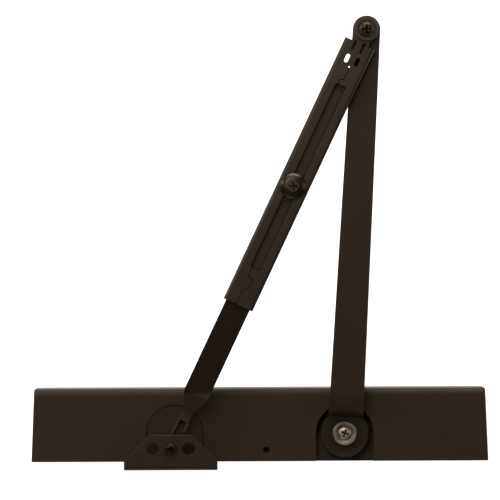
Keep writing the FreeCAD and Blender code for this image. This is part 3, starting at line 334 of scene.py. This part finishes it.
for name, node in nodes.items():
    slot = node.data.materials[0].name.split(".")[0]
    node.data.materials[0] = node_finishes.get(name, finishes[slot])


# ---------------------------------------------------------------- edges

# The arm's round is as wide as its joggle allows: a wider one leaves stray points along the joggle's top.
EDGE_ROUNDS = {
    "cover": 0.3 * MM,
    "main_arm": 0.25 * MM,
    "forearm_sleeve": 0.25 * MM,
    "cover_insert": 0.45 * MM,
    "adjusting_rod": 0.7 * MM,
    "shoe_bracket": 0.55 * MM,
}
SAME_POINT = 0.002 * MM
SAME_PLANE = math.radians(0.5)
SHARP_EDGE = math.radians(28.0)


def soften(node, width):
    """Breaks a CAD node's sharp edges with a small round, and keeps its flat faces flat."""
    weld = node.modifiers.new("weld", "WELD")
    weld.merge_threshold = SAME_POINT
    plane = node.modifiers.new("plane", "DECIMATE")
    plane.decimate_type = "DISSOLVE"
    plane.angle_limit = SAME_PLANE
    round_off = node.modifiers.new("round", "BEVEL")
    round_off.limit_method = "ANGLE"
    round_off.angle_limit = SHARP_EDGE
    round_off.width = width
    round_off.segments = 2
    round_off.miter_outer = "MITER_SHARP"
    round_off.use_clamp_overlap = False
    node.data.shade_smooth()
    flatten = node.modifiers.new("flatten", "WEIGHTED_NORMAL")
    flatten.keep_sharp = True
    flatten.weight = 80


for name, width in EDGE_ROUNDS.items():
    soften(nodes[name], width)


# ---------------------------------------------------------------- spring

def squeezed(node_name, name):
    """Puts a copy of a CAD spring in its place, on the CAD spring's body, and hides the CAD spring."""
    node = nodes[node_name]
    coil = bpy.data.objects.new(name, node.data.copy())
    bpy.context.scene.collection.objects.link(coil)
    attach(coil, body_of(node)[0])
    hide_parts(node_name)
    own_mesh(coil)


squeezed("power_spring", "closing_spring")


# ---------------------------------------------------------------- studio

FLOOR_REACH = 6.0
FLOOR_GAP = 0.2 * MM

floor_z = cad_box[0].z - FLOOR_GAP
floor_corners = [(x * FLOOR_REACH, y * FLOOR_REACH, floor_z) for x, y in ((-1, -1), (1, -1), (1, 1), (-1, 1))]
floor_mesh = bpy.data.meshes.new("floor")
floor_mesh.from_pydata(floor_corners, [], [(0, 1, 2, 3)])
floor = bpy.data.objects.new("floor", floor_mesh)
bpy.context.scene.collection.objects.link(floor)

# The paper glows as well, so that it stays white in the picture however little light falls on it.
paper = Finish("studio_floor", Specular_IOR_Level=0.2, Roughness=0.8)
paper_fibre = paper.noise(3 * MM)
paper.finish(colour=paper.tint(paper_fibre, (0.84, 0.84, 0.84), (0.86, 0.86, 0.86)))
paper.shader.inputs["Emission Color"].default_value = (1.0, 1.0, 1.0, 1.0)
paper.shader.inputs["Emission Strength"].default_value = 1.0
floor_mesh.materials.append(paper.material)

world = bpy.data.worlds.new("studio")
bpy.context.scene.world = world
world.use_nodes = True
room_light = world.node_tree.nodes["Background"]
room_light.inputs["Color"].default_value = (1.0, 0.94, 0.88, 1.0)
room_light.inputs["Strength"].default_value = 0.09

WARM = (1.0, 0.93, 0.86)
object_middle = (cad_box[0] + cad_box[1]) / 2


def softbox(name, offset, size, power):
    """A soft light, offset from the object's middle and aimed at it.

    The offset and the size, width by height, are in metres. The power is in watts.
    """
    lamp = bpy.data.lights.new(name, "AREA")
    lamp.shape = "RECTANGLE"
    lamp.size, lamp.size_y = size
    lamp.energy = power
    lamp.color = WARM
    holder = bpy.data.objects.new(name, lamp)
    bpy.context.scene.collection.objects.link(holder)
    holder.location = object_middle + Vector(offset)
    holder.rotation_euler = (-Vector(offset)).to_track_quat("-Z", "Y").to_euler()
    holder.visible_camera = False


softbox("key_far", (0.05, 1.6, 0.75), (1.6, 0.6), 25.0)
softbox("key_left", (-1.6, 0.6, 0.6), (0.4, 1.2), 8.0)
softbox("overhead", (-0.3, 0.5, 1.6), (0.7, 0.7), 9.0)
softbox("fill_right", (1.6, 0.1, 1.0), (0.5, 1.4), 4.0)
softbox("fill_near", (-0.6, -1.6, 0.9), (1.4, 0.6), 3.5)


# ---------------------------------------------------------------- camera

CAMERA_X = -6.45 * MM
CAMERA_Y = 150.43 * MM
CAMERA_RISE = 6.0
CAMERA_ROLL = math.radians(-0.23)
FIELD_WIDTH = 355.8 * MM
SENSOR_WIDTH = 36.0

cover_front_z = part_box("cover")[1].z
camera_data = bpy.data.cameras.new("camera")
camera_data.sensor_width = SENSOR_WIDTH
camera_data.lens = SENSOR_WIDTH * CAMERA_RISE / FIELD_WIDTH
camera_data.clip_start = 0.05
camera_data.clip_end = 20.0
camera = bpy.data.objects.new("camera", camera_data)
bpy.context.scene.collection.objects.link(camera)
camera.location = (CAMERA_X, CAMERA_Y, cover_front_z + CAMERA_RISE)
camera.rotation_euler = (0.0, 0.0, CAMERA_ROLL)
bpy.context.scene.camera = camera

bpy.context.scene.view_settings.view_transform = "Standard"
